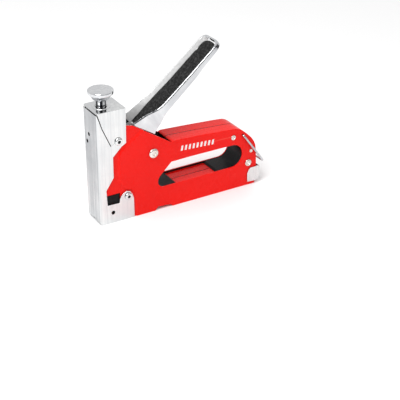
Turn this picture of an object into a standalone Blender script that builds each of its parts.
"""Hand tacker (staple gun): painted two-half body, plated nose, squeeze lever, tension knob,
pull-out staple magazine and wire lever lock. All sizes are in millimetres; add() scales them to
metres and moves the origin from the nose's front face to the middle of the object's box."""
import math

import bmesh
import bpy
from mathutils import Vector

MM = 0.001
CENTRE_X = 94.34         # middle of the overall length, nose face at 0 and wire bail at 188.7

# Body: two pressed halves meeting at the middle plane
SEAM = 0.15              # half the gap between the two halves
FACE_Y = 14.45           # outside of the raised side panel
STRIP_Y = 13.15          # outside of the recessed strip along the nose cover
SHEET = 1.4              # wall of the pressed halves
LIP = 2.4                # how far the side panel stands past the grip hole's flange
HOLE_FIT = 0.3           # clearance of a fixed pin in its hole
CHANNEL_SLOT = 7.0       # half width of the slot the magazine passes through

# Nose cover
NOSE_Y = 14.45
NOSE_SHEET = 1.0
NOSE_TOP = 118.0
KNOB_X = 12.3

# Lever
PIVOT = (58.8, 64.2)
LEVER_COS = 0.7586
LEVER_SIN = 0.6516
LEVER_SHEET = 1.2
HOOK_PIN = (38.0, 70.0)
CHEEK_Y0 = 10.0
CHEEK_Y1 = 11.2

# Wire bail
BAIL_PIVOT = (161.9, 58.7)
BAIL_END = (187.3, 23.9)
BAIL_Y = 16.6
WIRE_R = 1.1

# Magazine
ROD_Z = 6.2
ROD_R = 1.5


def new_material(name, colour, metallic, roughness):
    mat = bpy.data.materials.new(name)
    mat.use_nodes = True
    shader = mat.node_tree.nodes["Principled BSDF"]
    shader.inputs["Base Color"].default_value = (*colour, 1.0)
    shader.inputs["Metallic"].default_value = metallic
    shader.inputs["Roughness"].default_value = roughness
    mat.diffuse_color = (*colour, 1.0)
    return mat


def add(name, bm, finish, smooth=35.0):
    """Make one named object from a bmesh in millimetres, with a material of its own."""
    for vert in bm.verts:
        vert.co.x = (vert.co.x - CENTRE_X) * MM
        vert.co.y = vert.co.y * MM
        vert.co.z = vert.co.z * MM
    bmesh.ops.remove_doubles(bm, verts=bm.verts, dist=0.00001)
    bmesh.ops.recalc_face_normals(bm, faces=bm.faces)
    mesh = bpy.data.meshes.new(name)
    bm.to_mesh(mesh)
    bm.free()
    for poly in mesh.polygons:
        poly.use_smooth = True
    mesh.set_sharp_from_angle(angle=math.radians(smooth))
    obj = bpy.data.objects.new(name, mesh)
    bpy.context.scene.collection.objects.link(obj)
    mesh.materials.append(new_material(name, *finish))
    return obj


def loft(rings):
    """Closed solid through rings that all have the same number of points."""
    bm = bmesh.new()
    loops = [[bm.verts.new(point) for point in ring] for ring in rings]
    count = len(loops[0])
    for low, high in zip(loops, loops[1:]):
        for i in range(count):
            j = (i + 1) % count
            bm.faces.new((low[i], low[j], high[j], high[i]))
    bm.faces.new(list(reversed(loops[0])))
    bm.faces.new(loops[-1])
    bmesh.ops.recalc_face_normals(bm, faces=bm.faces)
    return bm


def prism(poly, y0, y1):
    """Side outline given as (x, z), pushed across from y0 to y1."""
    return loft([[(x, y, z) for x, z in poly] for y in (y0, y1)])


def box(x0, x1, y0, y1, z0, z1):
    return prism([(x0, z0), (x1, z0), (x1, z1), (x0, z1)], y0, y1)


def revolve(profile, axis, centre, count=24):
    """Turn (radius, height) pairs round an axis through centre; ends are closed."""
    rings = []
    for radius, height in profile:
        ring = []
        for i in range(count):
            turn = 2.0 * math.pi * i / count
            a = radius * math.cos(turn)
            b = radius * math.sin(turn)
            if axis == "z":
                ring.append((centre[0] + a, centre[1] + b, height))
            elif axis == "y":
                ring.append((centre[0] + a, height, centre[1] + b))
            else:
                ring.append((height, centre[0] + a, centre[1] + b))
        rings.append(ring)
    return loft(rings)


def tube(path, radius, count=8):
    """Round wire swept along a list of points."""
    points = [Vector(p) for p in path]
    rings = []
    side = None
    for i, point in enumerate(points):
        before = points[max(i - 1, 0)]
        after = points[min(i + 1, len(points) - 1)]
        along = (after - before).normalized()
        if side is None:
            side = along.orthogonal().normalized()
        side = (side - along * side.dot(along)).normalized()
        up = along.cross(side)
        stretch = 1.0
        if 0 < i < len(points) - 1:
            first = (point - before).normalized()
            half = max(first.dot(along), 0.5)
            stretch = 1.0 / half
        ring = []
        for k in range(count):
            turn = 2.0 * math.pi * k / count
            spoke = side * math.cos(turn) + up * math.sin(turn)
            ring.append(point + spoke * radius * min(stretch, 1.15))
        rings.append(ring)
    return loft(rings)


def boolean(bm, other, operation="DIFFERENCE"):
    """Exact boolean between two bmeshes; both are used up and the result is returned."""
    objects = []
    for source in (bm, other):
        mesh = bpy.data.meshes.new("temp")
        source.to_mesh(mesh)
        source.free()
        obj = bpy.data.objects.new("temp", mesh)
        bpy.context.scene.collection.objects.link(obj)
        objects.append(obj)
    target, cutter = objects
    mod = target.modifiers.new("cut", "BOOLEAN")
    mod.operation = operation
    mod.solver = "EXACT"
    mod.object = cutter
    bpy.context.view_layer.update()
    graph = bpy.context.evaluated_depsgraph_get()
    result = bpy.data.meshes.new_from_object(target.evaluated_get(graph))
    out = bmesh.new()
    out.from_mesh(result)
    bpy.data.meshes.remove(result)
    for obj in objects:
        mesh = obj.data
        bpy.data.objects.remove(obj)
        bpy.data.meshes.remove(mesh)
    bmesh.ops.remove_doubles(out, verts=out.verts, dist=0.002)
    bmesh.ops.dissolve_degenerate(out, edges=out.edges, dist=0.002)
    return out


def offset(poly, distance):
    """Grow (or, with a negative distance, shrink) an outline by mitred corners."""
    area = sum(p[0] * q[1] - q[0] * p[1] for p, q in zip(poly, poly[1:] + poly[:1]))
    sign = 1.0 if area > 0 else -1.0
    out = []
    for i, point in enumerate(poly):
        before = Vector(poly[i - 1])
        here = Vector(point)
        after = Vector(poly[(i + 1) % len(poly)])
        d1 = (here - before).normalized()
        d2 = (after - here).normalized()
        n1 = Vector((d1.y, -d1.x)) * sign
        n2 = Vector((d2.y, -d2.x)) * sign
        mid = (n1 + n2).normalized()
        move = distance / max(mid.dot(n1), 0.5)
        out.append((here.x + mid.x * move, here.y + mid.y * move))
    return out


def bevel_where(bm, test, width, segments):
    """Round the edges whose two ends both pass the test."""
    edges = [e for e in bm.edges if test(e.verts[0].co) and test(e.verts[1].co)]
    bmesh.ops.bevel(bm, geom=edges, offset=width, offset_type="OFFSET", segments=segments,
                    profile=0.5, affect="EDGES", clamp_overlap=True)
    return bm


def helix(axis_point, axis, radius, start, end, turns, wire, per_turn, sides):
    """Coil spring round a line along x, y or z from start to end."""
    steps = int(turns * per_turn)
    path = []
    for i in range(steps + 1):
        turn = 2.0 * math.pi * turns * i / steps
        along = start + (end - start) * i / steps
        a = radius * math.cos(turn)
        b = radius * math.sin(turn)
        if axis == "z":
            path.append((axis_point[0] + a, axis_point[1] + b, along))
        elif axis == "y":
            path.append((axis_point[0] + a, along, axis_point[1] + b))
        else:
            path.append((along, axis_point[0] + a, axis_point[1] + b))
    return tube(path, wire, sides)


def lever_point(s, n):
    """Turn lever coordinates (along, above) into side-view x and z."""
    return (PIVOT[0] + s * LEVER_COS - n * LEVER_SIN, PIVOT[1] + s * LEVER_SIN + n * LEVER_COS)


for old in list(bpy.data.objects):
    bpy.data.objects.remove(old)

RED = ((0.80, 0.02, 0.015), 0.0, 0.28)
CHROME = ((0.82, 0.82, 0.83), 1.0, 0.12)
STEEL = ((0.55, 0.56, 0.58), 1.0, 0.35)
DARK_STEEL = ((0.20, 0.20, 0.21), 1.0, 0.45)
ZINC = ((0.66, 0.66, 0.65), 1.0, 0.30)
RUBBER = ((0.02, 0.02, 0.02), 0.0, 0.65)
BRASS = ((0.72, 0.55, 0.25), 1.0, 0.35)

# ---------------------------------------------------------------------------
# Body halves
# ---------------------------------------------------------------------------
BODY = [
    (2.0, 99.6), (30.5, 99.4), (38.6, 97.1), (79.3, 70.6), (80.4, 71.4), (82.0, 72.0), (110.0, 70.6),
    (142.0, 68.6), (148.7, 68.1), (152.8, 67.7), (155.6, 67.1), (158.2, 66.1), (160.8, 64.5),
    (163.1, 62.6), (165.3, 60.6), (167.8, 58.4), (170.2, 56.0), (172.4, 53.7), (174.3, 51.2),
    (175.6, 49.1), (176.7, 46.9), (177.5, 44.9), (178.0, 43.0), (178.4, 40.0), (178.9, 35.0),
    (179.5, 22.4), (179.5, 15.0), (179.2, 9.0), (177.8, 0.0),
    (80.4, 0.0), (77.0, 2.6), (63.5, 3.6), (60.2, 0.0), (22.5, 0.0), (22.5, 30.0), (2.0, 30.0),
]
HOLLOW = [
    (-5.0, 110.0), (60.0, 110.0), (79.7, 90.0), (79.7, 69.9), (82.2, 70.6), (110.0, 69.2), (142.0, 67.2),
    (152.6, 66.3), (155.2, 65.7), (157.6, 64.8), (159.9, 63.3), (164.3, 59.6), (169.2, 55.0),
    (173.1, 50.4), (175.4, 46.3), (176.7, 42.7), (177.5, 35.0), (178.1, 22.4), (177.8, 10.0),
    (176.5, 1.4), (80.9, 1.4), (77.5, 4.0), (62.9, 5.0), (59.6, 1.4), (-5.0, 1.4),
]
STEP = [
    (51.0, 95.5), (47.0, 91.2), (23.5, 75.5), (20.5, 68.0), (20.5, 45.0), (23.6, 39.6), (25.0, 34.6),
    (27.0, 32.9), (29.4, 32.2), (32.4, 31.3), (35.4, 28.0), (37.5, 23.5), (37.9, 12.0), (38.2, -4.0),
]
HOLE_END = (149.5, 37.7)
GRIP_HOLE = [(78.7, 49.7), (100.0, 50.2)]
for step in range(17):
    angle = math.radians(90.0 - 11.25 * step)
    GRIP_HOLE.append((HOLE_END[0] + 12.5 * math.cos(angle), HOLE_END[1] + 12.5 * math.sin(angle)))
GRIP_HOLE += [
    (70.6, 24.6), (68.8, 24.8), (67.1, 25.5), (65.6, 26.6), (64.5, 28.0), (63.8, 29.6), (63.6, 31.2),
    (63.7, 33.0), (64.3, 34.8), (66.1, 37.5),
]


def body_half(side):
    bm = prism(BODY, SEAM, FACE_Y)

    def outer_rim(co):
        return co.y > FACE_Y - 0.01 and (co.x > 79.8 or (co.z < 4.0 and co.x > 38.5))

    bm = bevel_where(bm, outer_rim, 2.0, 2)
    slope = [(x + 1.7, z - 1.3) for x, z in STEP[:4]]
    slope += [(x + 2.2, z) for x, z in STEP[4:]]
    outside = [(-6.0, -4.0), (-6.0, 120.0), (51.0, 120.0)]
    low = [(x, STRIP_Y, z) for x, z in outside + STEP]
    high = [(x, FACE_Y + 0.2, z) for x, z in outside + slope]
    bm = boolean(bm, loft([low, high]))
    hollow = prism(HOLLOW, -1.0, STRIP_Y - SHEET)
    hollow = boolean(hollow, prism(offset(GRIP_HOLE, LIP + SHEET), -2.0, 20.0))
    bm = boolean(bm, hollow)
    inner_step = [(x + 3.2, z - (2.2 if z > 60 else 0.0)) for x, z in STEP[1:]]
    raised = [(59.0, 108.0)] + inner_step[:-1] + [(40.8, 1.4)] + list(reversed(HOLLOW[2:-1]))
    deep = prism(raised, STRIP_Y - SHEET - 0.5, FACE_Y - SHEET)
    deep = boolean(deep, prism(offset(GRIP_HOLE, LIP + SHEET), -2.0, 20.0))
    bm = boolean(bm, deep)
    bm = boolean(bm, prism(offset(GRIP_HOLE, LIP), -1.0, FACE_Y - SHEET))
    bm = boolean(bm, prism(GRIP_HOLE, FACE_Y - SHEET - 0.4, FACE_Y + 1.0))
    bm = boolean(bm, box(18.0, 190.0, -1.0, CHANNEL_SLOT, -2.0, 14.0))
    for x, z, r in (
        (PIVOT[0], PIVOT[1], 3.5 + HOLE_FIT), (150.3, 58.8, 1.6 + HOLE_FIT), (172.4, 38.9, 1.2 + HOLE_FIT),
        (169.2, 25.9, 2.0 + HOLE_FIT), (30.6, 24.9, 2.0 + HOLE_FIT), (21.9, 85.6, 1.8 + HOLE_FIT),
        (BAIL_PIVOT[0], BAIL_PIVOT[1], WIRE_R + 0.25),
    ):
        bm = boolean(bm, revolve([(r, 8.0), (r, 18.0)], "y", (x, z), 18))
    if side < 0:
        bmesh.ops.scale(bm, vec=(1.0, -1.0, 1.0), verts=bm.verts)
        bmesh.ops.reverse_faces(bm, faces=bm.faces)
    return bm


add("shell_right", body_half(-1), RED)
add("shell_left", body_half(1), RED)


def band(outline, start, end, outer, inner, half):
    """Strip of padding that follows part of an outline."""
    wide = offset(outline, outer)[start:end + 1]
    thin = offset(outline, inner)[start:end + 1]
    return prism(wide + list(reversed(thin)), -half, half)


rear_outline = [(146.0, 50.2)] + GRIP_HOLE[2:19] + [(133.6, 25.05), (133.6, 35.0), (146.0, 35.0)]
add("liner_rear", band(rear_outline, 0, 18, LIP - 0.3, 0.1, FACE_Y - SHEET - 0.3), RUBBER)
front_outline = [(84.0, 24.72)] + GRIP_HOLE[19:] + [(72.0, 43.3), (84.0, 43.3)]
add("liner_front", band(front_outline, 0, 11, LIP - 0.3, 0.1, FACE_Y - SHEET - 0.3), RUBBER)

# ---------------------------------------------------------------------------
# Nose cover: one folded sheet with a diagonal corner slit each side
# ---------------------------------------------------------------------------
NOSE = [
    (0.0, 0.0), (36.9, 0.0), (36.6, 21.0), (35.3, 25.8), (32.7, 29.6), (29.2, 30.8), (25.7, 29.4),
    (23.0, 26.8), (21.7, 24.4), (20.9, 19.9), (8.2, 20.2), (7.4, 36.5), (15.6, 48.6), (15.7, 70.3),
    (25.3, 79.6), (29.9, 82.1), (30.6, NOSE_TOP), (0.0, NOSE_TOP),
]
nose = prism(NOSE, -NOSE_Y, NOSE_Y)
nose = bevel_where(nose, lambda co: co.x < 0.01 and abs(co.y) > NOSE_Y - 0.01, 2.6, 3)
inner = box(NOSE_SHEET, 60.0, -NOSE_Y + NOSE_SHEET, NOSE_Y - NOSE_SHEET, -3.0, NOSE_TOP - NOSE_SHEET)
inner = bevel_where(inner, lambda co: co.x < NOSE_SHEET + 0.01 and abs(co.y) > 13.0, 1.7, 3)
nose = boolean(nose, inner)
slit = [(5.3, 101.2), (13.6, 82.1), (14.2, 82.4), (6.0, 101.5), (1.5, 116.5), (0.7, 116.2)]
nose = boolean(nose, prism(slit, -20.0, 20.0))
nose = boolean(nose, box(-1.0, 1.3, -20.0, 20.0, 115.9, 116.75))
for y, z in ((3.2, 91.3), (7.3, 82.7)):
    nose = boolean(nose, revolve([(1.9, -2.0), (1.9, 2.2)], "x", (y, z), 14))
nose = boolean(nose, revolve([(2.0, -20.0), (2.0, 20.0)], "y", (13.9, 11.1), 16))
for x, z, r in ((21.9, 85.6, 2.1), (30.6, 24.9, 2.3)):
    nose = boolean(nose, revolve([(r, -20.0), (r, 20.0)], "y", (x, z), 16))
mouth = ((-3.6, -1.0), (3.6, -1.0), (2.4, 3.2), (-2.4, 3.2))
nose = boolean(nose, loft([[(x, y, z) for y, z in mouth] for x in (-1.0, 1.6)]))
collar = revolve([(8.8, NOSE_TOP - 0.5), (8.8, NOSE_TOP + 0.2), (8.2, NOSE_TOP + 0.8), (6.6, NOSE_TOP + 0.8),
                  (6.2, NOSE_TOP + 0.2), (6.2, NOSE_TOP - 0.5)], "z", (KNOB_X, 0.0), 32)
nose = boolean(nose, collar, "UNION")
nose = boolean(nose, revolve([(5.3, 110.0), (5.3, 125.0)], "z", (KNOB_X, 0.0), 32))
add("nose_shell", nose, CHROME)


def dome(y0, radius, height):
    """Low domed head standing out from y0."""
    return [(radius, y0), (radius, y0 + 0.35 * height), (radius * 0.86, y0 + 0.75 * height),
            (radius * 0.5, y0 + height), (radius * 0.12, y0 + height)]


def through_rivet(name, x, z, shank, head, height, finish=CHROME, gap=0.3, count=20):
    top = dome(FACE_Y + gap, head, height)
    profile = [(r, -y) for r, y in reversed(top)]
    profile += [(shank, -FACE_Y - gap), (shank, FACE_Y + gap)]
    profile += top
    return add(name, revolve(profile, "y", (x, z), count), finish)


through_rivet("pivot_pin", PIVOT[0], PIVOT[1], 3.5, 5.0, 1.7, CHROME, 0.3, 28)
through_rivet("rivet_top", 150.3, 58.8, 1.6, 2.75, 0.8)
through_rivet("rivet_mid", 172.4, 38.9, 1.2, 2.0, 0.5, CHROME, 0.2)
through_rivet("rivet_rear", 169.2, 25.9, 2.0, 3.8, 1.2)
through_rivet("nose_bolt", 30.6, 24.9, 2.0, 3.9, 1.7)
for name, side in (("nose_screw_right", -1), ("nose_screw_left", 1)):
    head = [(1.8, 12.1), (1.8, NOSE_Y + 0.3)] + dome(NOSE_Y + 0.3, 4.0, 1.7)
    add(name, revolve([(r, side * y) for r, y in head], "y", (21.9, 85.6), 20), CHROME)


def sleeve(inner_r, outer_r, half, x, z, count=18):
    bm = revolve([(outer_r, -half), (outer_r, half)], "y", (x, z), count)
    return boolean(bm, revolve([(inner_r, -half - 1.0), (inner_r, half + 1.0)], "y", (x, z), count))


add("spacer_top", sleeve(1.9, 3.4, 12.6, 150.3, 58.8), ZINC)
add("spacer_rear", sleeve(2.3, 4.0, 12.6, 169.2, 25.9), ZINC)

# ---------------------------------------------------------------------------
# Inside the nose: guide, bumper, hammer, blade, springs and tension adjuster
# ---------------------------------------------------------------------------
guide = box(3.0, 24.0, -11.5, 11.5, 30.0, 97.0)
guide = boolean(guide, box(0.0, 23.0, -10.6, 10.6, 25.0, 100.0))
guide = boolean(guide, box(20.0, 26.0, -4.0, 4.0, 33.0, 62.0))
add("blade_guide", guide, STEEL)
add("bumper_block", box(3.6, 21.9, -12.9, 12.9, 12.4, 29.6), RUBBER)
hammer = box(2.8, 22.4, -10.2, 10.2, 30.0, 46.0)
hammer = bevel_where(hammer, lambda co: True, 0.5, 1)
hammer = boolean(hammer, box(11.0, 24.0, -2.8, 2.8, 33.5, 44.0))
hammer = boolean(hammer, revolve([(1.5, 0.0), (1.5, 8.0)], "x", (0.0, 37.0), 12))
add("hammer_block", hammer, DARK_STEEL)
blade = box(1.4, 2.4, -5.2, 5.2, 0.6, 60.0)
blade = boolean(blade, revolve([(1.5, 0.0), (1.5, 4.0)], "x", (0.0, 37.0), 12))
add("driver_blade", blade, STEEL)
add("blade_rivet", revolve([(1.2, 1.3), (1.2, 7.6)], "x", (0.0, 37.0), 12), ZINC)
add("main_spring", helix((KNOB_X, 0.0), "z", 7.5, 47.3, 102.9, 9.5, 1.0, 12, 6), STEEL, 60)
seat = revolve([(9.0, 104.2), (9.0, 105.6), (8.2, 106.4), (1.0, 106.4)], "z", (KNOB_X, 0.0), 24)
add("spring_seat", seat, STEEL)
nut = box(3.0, 29.5, -12.8, 12.8, 113.0, 116.6)
nut = boolean(nut, revolve([(5.2, 110.0), (5.2, 120.0)], "z", (KNOB_X, 0.0), 24))
add("tension_nut", nut, STEEL)
screw = [(1.4, 106.7), (2.9, 107.4)]
for i in range(7):
    screw += [(2.9, 107.9 + i * 0.8), (2.5, 108.3 + i * 0.8)]
screw += [(2.9, 113.6), (2.9, 122.4)]
add("adjuster_screw", revolve(screw, "z", (KNOB_X, 0.0), 16), STEEL)
knob = [(4.8, 112.9), (4.8, 125.2), (7.6, 126.0), (8.4, 126.6), (9.6, 128.6), (10.9, 130.6), (11.5, 131.2),
        (11.5, 131.6), (12.2, 131.9), (12.5, 132.6), (12.5, 133.8), (12.1, 134.7), (11.3, 135.2),
        (10.2, 135.2), (9.7, 134.8), (0.6, 134.8)]
knob = revolve(knob, "z", (KNOB_X, 0.0), 36)
knob = boolean(knob, revolve([(3.3, 110.0), (3.3, 122.8)], "z", (KNOB_X, 0.0), 16))
add("tension_knob", knob, CHROME)

# ---------------------------------------------------------------------------
# Magazine: channel in the foot, rod with latch cap, spring-loaded pusher
# ---------------------------------------------------------------------------
channel = box(2.8, 165.5, -6.3, 6.3, 1.0, 12.0)
channel = boolean(channel, box(0.0, 170.0, -5.3, 5.3, -1.0, 11.0))
add("staple_channel", channel, STEEL)
shoe = box(4.5, 24.0, -4.8, 4.8, 2.2, 10.4)
shoe = boolean(shoe, revolve([(1.9, 0.0), (1.9, 30.0)], "x", (0.0, ROD_Z), 12))
add("pusher_shoe", shoe, ZINC)
add("magazine_rod", revolve([(1.2, 6.0), (ROD_R, 6.4), (ROD_R, 176.0)], "x", (0.0, ROD_Z), 12), STEEL)
add("pusher_spring", helix((0.0, ROD_Z), "x", 2.6, 24.8, 165.2, 26, 0.4, 9, 4), STEEL, 60)
block = box(166.0, 182.0, -4.9, 4.9, 2.0, 11.0)
block = boolean(block, revolve([(1.8, 160.0), (1.8, 177.0)], "x", (0.0, ROD_Z), 12))
add("rod_end_block", block, ZINC)
CAP = [
    (168.5, 4.2), (168.0, 9.0), (168.0, 13.9), (169.3, 17.0), (170.9, 19.2), (172.2, 19.8), (182.4, 19.8),
    (183.3, 18.9), (183.3, 7.5), (180.3, 3.9), (178.0, 3.6),
]
cap = prism(CAP, -15.75, 15.75)
cap = boolean(cap, box(160.0, 182.3, -14.75, 14.75, -5.0, 30.0))
add("latch_cap", cap, CHROME)

# ---------------------------------------------------------------------------
# Lever: pressed channel with cheeks, rubber inlay, bush, lifter hook
# ---------------------------------------------------------------------------
# along, half width low, level low, half width of the rim, level of the rim
LEVER = [
    (7.5, 11.3, 7.0, 11.4, 38.4),
    (14.0, 11.4, 11.0, 11.7, 36.3),
    (17.0, 11.7, 12.8, 12.0, 35.6),
    (21.0, 12.5, 14.4, 12.4, 34.6),
    (25.0, 13.7, 15.9, 13.2, 33.3),
    (29.0, 14.8, 18.0, 14.2, 31.9),
    (33.0, 15.6, 19.8, 15.0, 30.6),
    (38.0, 16.0, 21.0, 15.4, 29.6),
    (44.0, 16.2, 21.3, 15.4, 29.2),
    (58.0, 16.2, 21.5, 15.4, 28.8),
    (82.0, 16.0, 21.8, 15.3, 28.4),
    (90.0, 15.1, 22.2, 15.0, 28.4),
    (111.0, 15.0, 23.2, 14.8, 28.3),
    (115.0, 14.6, 23.5, 14.3, 28.1),
    (117.8, 13.4, 23.7, 13.0, 27.9),
    (119.6, 11.4, 23.9, 11.0, 27.7),
    (120.5, 8.6, 24.1, 8.1, 27.5),
]
# along, half width of the pad, level of the pad's top
PAD = [
    (9.4, 8.7, 28.2), (14.0, 9.0, 27.9), (20.0, 9.5, 27.3), (25.0, 10.1, 27.0), (29.0, 10.6, 26.7),
    (33.0, 10.9, 26.4), (38.0, 11.0, 26.1), (48.0, 11.0, 25.8), (60.0, 11.0, 24.9), (84.0, 11.0, 24.7),
    (101.5, 10.9, 24.6), (103.0, 9.8, 24.6), (105.0, 9.8, 24.6), (106.5, 10.9, 24.6), (111.5, 10.7, 24.6),
    (114.6, 9.3, 24.6), (116.4, 6.8, 24.6), (117.3, 3.4, 24.6),
]
PAD_THICK = 1.1
PAD_FIT = 0.3


def level_at(rows, s, column):
    """Value of one column of a table at a distance along the lever."""
    for low, high in zip(rows, rows[1:]):
        if low[0] <= s <= high[0]:
            share = (s - low[0]) / (high[0] - low[0])
            return low[column] + share * (high[column] - low[column])
    return rows[0][column] if s < rows[0][0] else rows[-1][column]


def rim_flat(s):
    """How far the folded rim reaches inwards: narrow at the neck, wider along the grip."""
    return 1.1 + 0.5 * min(max((s - 33.0) / 11.0, 0.0), 1.0)


def lever_ring(s, chain):
    """Mirrored cross-section from (half width, level) pairs, given from the left edge inwards."""
    both = [(-w, n) for w, n in chain] + [(w, n) for w, n in reversed(chain)]
    return [(lever_point(s, n)[0], w, lever_point(s, n)[1]) for w, n in both]


outer = []
for s, w_low, n_low, w_rim, n_rim in LEVER:
    outer.append(lever_ring(s, [(w_low, n_low), (w_rim, n_rim - 1.2), (w_rim - 0.3, n_rim - 0.4),
                                (w_rim - 0.8, n_rim)]))
arm = loft(outer)

tray = []
for s, half, n_pad in [(5.0, 8.7, 28.2)] + PAD[:10] + [(111.0, 11.0, 24.6)]:
    n_floor = n_pad - PAD_THICK - PAD_FIT
    top = level_at(LEVER, s, 3) - rim_flat(s)
    n_rim = level_at(LEVER, s, 4)
    steep = (top - half - PAD_FIT) / (n_rim - n_floor)
    tray.append(lever_ring(s, [(top + steep, n_rim + 1.0), (half + PAD_FIT, n_floor)]))
for s, half, run, top in ((115.2, 9.7, 116.4, 12.2), (117.1, 7.1, 118.3, 9.8), (117.9, 3.6, 119.2, 6.4)):
    high = lever_ring(run, [(top, 29.3)])
    low = lever_ring(s, [(half, 23.2)])
    tray.append([high[0], low[0], low[1], high[1]])
arm = boolean(arm, loft(tray))

hollow = []
for s in (4.0, 14.0, 17.0, 21.0, 25.0, 29.0, 33.0, 38.0, 44.0, 58.0, 84.0, 90.0, 111.0, 115.0, 117.6, 118.8):
    w_low = level_at(LEVER, s, 1)
    n_low = level_at(LEVER, s, 2)
    w_rim = level_at(LEVER, s, 3)
    n_rim = level_at(LEVER, s, 4)
    half = level_at(PAD, s, 1) if s < 112.0 else 8.0
    under = level_at(PAD, s, 2) - PAD_THICK - PAD_FIT - 1.1
    level = n_rim - 1.7
    while level > under:
        share = (level - n_low) / (n_rim - 1.2 - n_low)
        wall = w_low + share * (w_rim - w_low) - LEVER_SHEET
        share = (level - under - 1.1) / (n_rim - under - 1.1)
        slope = half + PAD_FIT + share * (w_rim - rim_flat(s) - half - PAD_FIT) + 1.15
        if wall - slope > 0.35:
            break
        level -= 0.2
    if level <= under:
        level = under
        slope = w_low - LEVER_SHEET - 0.6
        wall = w_low - LEVER_SHEET
    inner = min(half + PAD_FIT + 0.7, slope - 0.3)
    hollow.append(lever_ring(s, [(w_low - LEVER_SHEET, n_low - 5.0), (wall, level), (slope, level),
                                 (inner, under)]))
arm = boolean(arm, loft(hollow))
CHEEK = [
    (9.0, 0.5), (5.6, -5.8), (0.0, -8.0), (-5.8, -5.6), (-9.0, 0.0), (-15.4, 11.6), (-17.8, 16.5),
    (-17.2, 21.0), (-13.6, 24.0), (-7.0, 25.6), (0.0, 28.4), (4.0, 29.6), (10.6, 28.0), (11.2, 9.6), (10.4, 4.0),
]
for y0, y1 in ((-CHEEK_Y1, -CHEEK_Y0), (CHEEK_Y0, CHEEK_Y1)):
    arm = boolean(arm, prism([lever_point(s, n) for s, n in CHEEK], y0, y1), "UNION")
arm = boolean(arm, revolve([(5.5, -20.0), (5.5, 20.0)], "y", PIVOT, 24))
arm = boolean(arm, revolve([(2.2, -20.0), (2.2, 20.0)], "y", HOOK_PIN, 12))
add("lever_arm", arm, CHROME)

pad = []
for s, half, n_pad in PAD:
    low = n_pad - PAD_THICK
    chain = [(half, low), (half, n_pad - 0.3), (half - 0.3, n_pad)]
    pad.append(lever_ring(s, chain))
add("lever_grip", loft(pad), RUBBER)
add("lever_bush", sleeve(3.8, 5.2, 12.5, PIVOT[0], PIVOT[1], 24), BRASS)
pin = [(3.0, -12.4), (3.0, -11.5), (1.9, -11.5), (1.9, 11.5), (3.0, 11.5), (3.0, 12.4)]
add("hook_pin", revolve(pin, "y", HOOK_PIN, 14), STEEL)
HOOK = [
    (16.0, 35.6), (30.0, 35.6), (33.6, 41.0), (42.2, 65.6), (43.6, 70.0), (41.9, 74.0), (38.0, 75.6),
    (34.0, 74.0), (32.6, 70.0), (33.0, 65.0), (26.6, 42.0), (17.0, 42.0),
]
hook = prism(HOOK, -2.0, 2.0)
hook = boolean(hook, revolve([(2.2, -5.0), (2.2, 5.0)], "y", HOOK_PIN, 14))
add("lifter_hook", hook, STEEL)
add("hook_spring", helix(HOOK_PIN, "y", 3.1, 3.2, 7.4, 3.5, 0.45, 10, 5), STEEL, 60)

coil = []
for i in range(37):
    turn = math.radians(-150.0 + i * 35.0)
    coil.append((PIVOT[0] + 6.9 * math.cos(turn), 3.4 + i * 0.135, PIVOT[1] + 6.9 * math.sin(turn)))
add("return_spring", tube(coil, 0.65, 6), STEEL, 60)

# ---------------------------------------------------------------------------
# Wire bail that hooks over the closed lever
# ---------------------------------------------------------------------------
reach = Vector((BAIL_END[0] - BAIL_PIVOT[0], BAIL_END[1] - BAIL_PIVOT[1]))
along = reach.normalized()
leg = []
for back, y in ((0.0, 12.0), (0.0, BAIL_Y - 2.0), (0.25, BAIL_Y - 0.6), (1.9, BAIL_Y)):
    leg.append((BAIL_PIVOT[0] + along.x * back, y, BAIL_PIVOT[1] + along.y * back))
for short, y in ((4.0, BAIL_Y), (1.2, BAIL_Y - 1.2), (0.0, BAIL_Y - 4.0)):
    leg.append((BAIL_END[0] - along.x * short, y, BAIL_END[1] - along.y * short))
wire = leg + [(x, -y, z) for x, y, z in reversed(leg)]
add("lock_bail", tube(wire, WIRE_R, 10), STEEL, 60)
